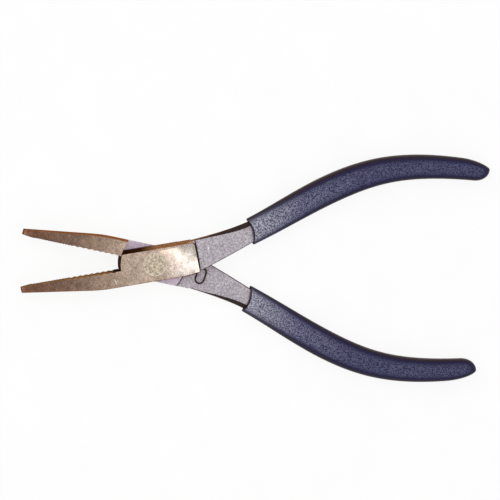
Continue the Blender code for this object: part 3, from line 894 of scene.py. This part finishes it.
class PLIERS_OT_grips(Operator):
    """Dip both handles"""

    bl_idname = "pliers.grips"
    bl_label = "Grips"

    def execute(self, context):
        grip = context.scene.pliers_grips
        plastic = dipped_plastic(grip)
        for node, body, flipped, extra in (
            ("front_grip", "front_half", False, FRONT_EXTRA),
            ("rear_grip", "rear_half", True, REAR_EXTRA),
        ):
            mesh = sleeve(node + "_sleeve", extra, grip)
            turn = lever_frame(flipped).to_4x4()
            mesh.transform(Matrix.Translation(PIVOT) @ turn)
            mesh.shade_smooth()
            mesh.materials.append(plastic)
            link(node + "_sleeve", mesh, body, node)
        return {"FINISHED"}


# Stage


WHITE = (1.0, 1.0, 1.0, 1.0)
PICTURE_DOTS = 500
SENSOR_WIDTH = 36.0
TOWARDS_CAMERA = Vector((-0.145, 0.1075, 1.0))
# Dots from the pivot to the middle of the picture
DOTS_RIGHT = 94.92
DOTS_UP = 14.51
# The near lamp stands where the joint's flat face mirrors it at the camera
MIRRORED = Vector((-TOWARDS_CAMERA.x, -TOWARDS_CAMERA.y, TOWARDS_CAMERA.z))
BRIGHT_SPOT = Vector((16.8 * MM, 8.6 * MM, HEAD_TOP))
NEAR_DISTANCE = 0.16
NEAR_SIZE = 28.0 * MM
SOFT_PLACE = (-0.45, 0.40, 0.95)
SOFT_SIZE = 0.8
BENCH_SIZE = 6.0
BENCH_SQUARES = 8
BENCH_DROP = 0.02 * MM
BENCH_SPECK = 20.0 * MM
BENCH_DARK = (0.14, 0.14, 0.14)
BENCH_PALE = (0.16, 0.16, 0.16)
BENCH_GLOW = 0.88
# Heights of a direction between which the mirrored walls turn into the ceiling
WALL_TOP = 0.25
CEILING_START = 0.75


def ray_of(tree, *kinds):
    """1 for a ray of any of these kinds."""
    path = put(tree, "ShaderNodeLightPath")
    found = path.outputs[kinds[0]]
    for kind in kinds[1:]:
        found = work_out(tree, "MAXIMUM", found, path.outputs[kind])
    return found


def bench():
    """White bench that keeps a soft shadow."""
    bm = bmesh.new()
    bmesh.ops.create_grid(
        bm, x_segments=BENCH_SQUARES, y_segments=BENCH_SQUARES, size=BENCH_SIZE
    )
    mesh = bpy.data.meshes.new("bench")
    bm.to_mesh(mesh)
    bm.free()
    top = bpy.data.objects.new("bench", mesh)
    top.location.z = -BENCH_DROP
    bpy.context.scene.collection.objects.link(top)
    material, tree, shader = new_finish("bench_white")
    speck = grain(tree, place_on(tree), BENCH_SPECK, detail=2.0)
    base = blend_colours(tree, spread(tree, speck, GRAIN_LOW, GRAIN_HIGH), BENCH_DARK, BENCH_PALE)
    tree.links.new(base, shader.inputs["Base Color"])
    shader.inputs["Roughness"].default_value = 0.9
    shader.inputs["Specular IOR Level"].default_value = 0.0
    seen = ray_of(tree, "Is Camera Ray", "Is Glossy Ray", "Is Transmission Ray")
    glow = work_out(tree, "MULTIPLY", seen, BENCH_GLOW)
    shader.inputs["Emission Color"].default_value = WHITE
    tree.links.new(glow, shader.inputs["Emission Strength"])
    mesh.materials.append(material)


def room(setting):
    """White walls, a dimmer ceiling and soft light from all round."""
    world = bpy.data.worlds.new("room")
    bpy.context.scene.world = world
    world.use_nodes = True
    tree = world.node_tree
    sky = tree.nodes["Background"]
    height = part_of(tree, on_piece(tree, "Generated"), "Z")
    mirrored = spread(tree, height, WALL_TOP, CEILING_START, 1.0, setting.ceiling)
    mirrored.node.interpolation_type = "SMOOTHSTEP"
    seen = ray_of(tree, "Is Glossy Ray", "Is Transmission Ray")
    light = put(tree, "ShaderNodeMix", {0: seen, 2: setting.fill, 3: mirrored}).outputs[0]
    looked_at = ray_of(tree, "Is Camera Ray")
    light = put(tree, "ShaderNodeMix", {0: looked_at, 2: light, 3: 1.0}).outputs[0]
    tree.links.new(light, sky.inputs["Strength"])
    sky.inputs["Color"].default_value = WHITE


def lamp(name, place, target, size, power):
    """Round soft lamp that shines at a target."""
    light = bpy.data.lights.new(name, "AREA")
    light.shape = "DISK"
    light.size = size
    light.energy = power
    thing = bpy.data.objects.new(name, light)
    bpy.context.scene.collection.objects.link(thing)
    thing.location = place
    thing.rotation_euler = (Vector(target) - Vector(place)).to_track_quat("-Z", "Y").to_euler()


def camera(setting):
    """Camera that looks down on the tool from a little to the left."""
    data = bpy.data.cameras.new("camera")
    data.lens = setting.lens
    data.sensor_width = SENSOR_WIDTH
    data.clip_start = 0.01
    data.clip_end = 100.0
    thing = bpy.data.objects.new("camera", data)
    bpy.context.scene.collection.objects.link(thing)
    away = TOWARDS_CAMERA.normalized()
    upward = Vector((-math.sin(setting.roll), math.cos(setting.roll), 0.0))
    right = upward.cross(away).normalized()
    upward = away.cross(right)
    front = Vector((0.0, 0.0, HEAD_TOP))
    centre = front + (right * DOTS_RIGHT + upward * DOTS_UP) * setting.pixel
    distance = setting.lens * PICTURE_DOTS * setting.pixel / SENSOR_WIDTH
    place = Matrix((right, upward, away)).transposed().to_4x4()
    place.translation = centre + away * distance
    thing.matrix_world = place
    bpy.context.scene.camera = thing


class PLIERS_OT_stage(Operator):
    """Set the bench, the lamps and the camera"""

    bl_idname = "pliers.stage"
    bl_label = "Stage"

    def execute(self, context):
        setting = context.scene.pliers_stage
        context.scene.view_settings.view_transform = "Standard"
        bench()
        room(setting)
        near_place = BRIGHT_SPOT + MIRRORED * NEAR_DISTANCE
        lamp("near_lamp", near_place, BRIGHT_SPOT, NEAR_SIZE, setting.near_power)
        lamp("soft_lamp", SOFT_PLACE, BRIGHT_SPOT, SOFT_SIZE, setting.key_power)
        camera(setting)
        return {"FINISHED"}


class PLIERS_PT_tools(Panel):
    """Sidebar panel of the pliers"""

    bl_label = "Pliers"
    bl_idname = "PLIERS_PT_tools"
    bl_space_type = "VIEW_3D"
    bl_region_type = "UI"
    bl_category = "Pliers"

    def draw(self, context):
        scene = context.scene
        for group, operators in (
            (scene.pliers_steel, ("pliers.levers", "pliers.rivet")),
            (scene.pliers_grips, ("pliers.grips",)),
            (scene.pliers_stage, ("pliers.stage",)),
        ):
            box = self.layout.box()
            for name in group.__annotations__:
                box.prop(group, name)
            for operator in operators:
                box.operator(operator)


CLASSES = (
    SteelFinish,
    GripFinish,
    StageSetting,
    PLIERS_OT_levers,
    PLIERS_OT_rivet,
    PLIERS_OT_grips,
    PLIERS_OT_stage,
    PLIERS_PT_tools,
)


def register():
    """Add the operators, the panel and their settings."""
    for item in CLASSES:
        bpy.utils.register_class(item)
    bpy.types.Scene.pliers_steel = PointerProperty(type=SteelFinish)
    bpy.types.Scene.pliers_grips = PointerProperty(type=GripFinish)
    bpy.types.Scene.pliers_stage = PointerProperty(type=StageSetting)


def unregister():
    """Take out what register added."""
    del bpy.types.Scene.pliers_stage
    del bpy.types.Scene.pliers_grips
    del bpy.types.Scene.pliers_steel
    for item in reversed(CLASSES):
        bpy.utils.unregister_class(item)


def main():
    """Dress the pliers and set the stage."""
    register()
    bpy.ops.pliers.levers()
    bpy.ops.pliers.rivet()
    bpy.ops.pliers.grips()
    bpy.ops.pliers.stage()


if __name__ == "__main__":
    main()
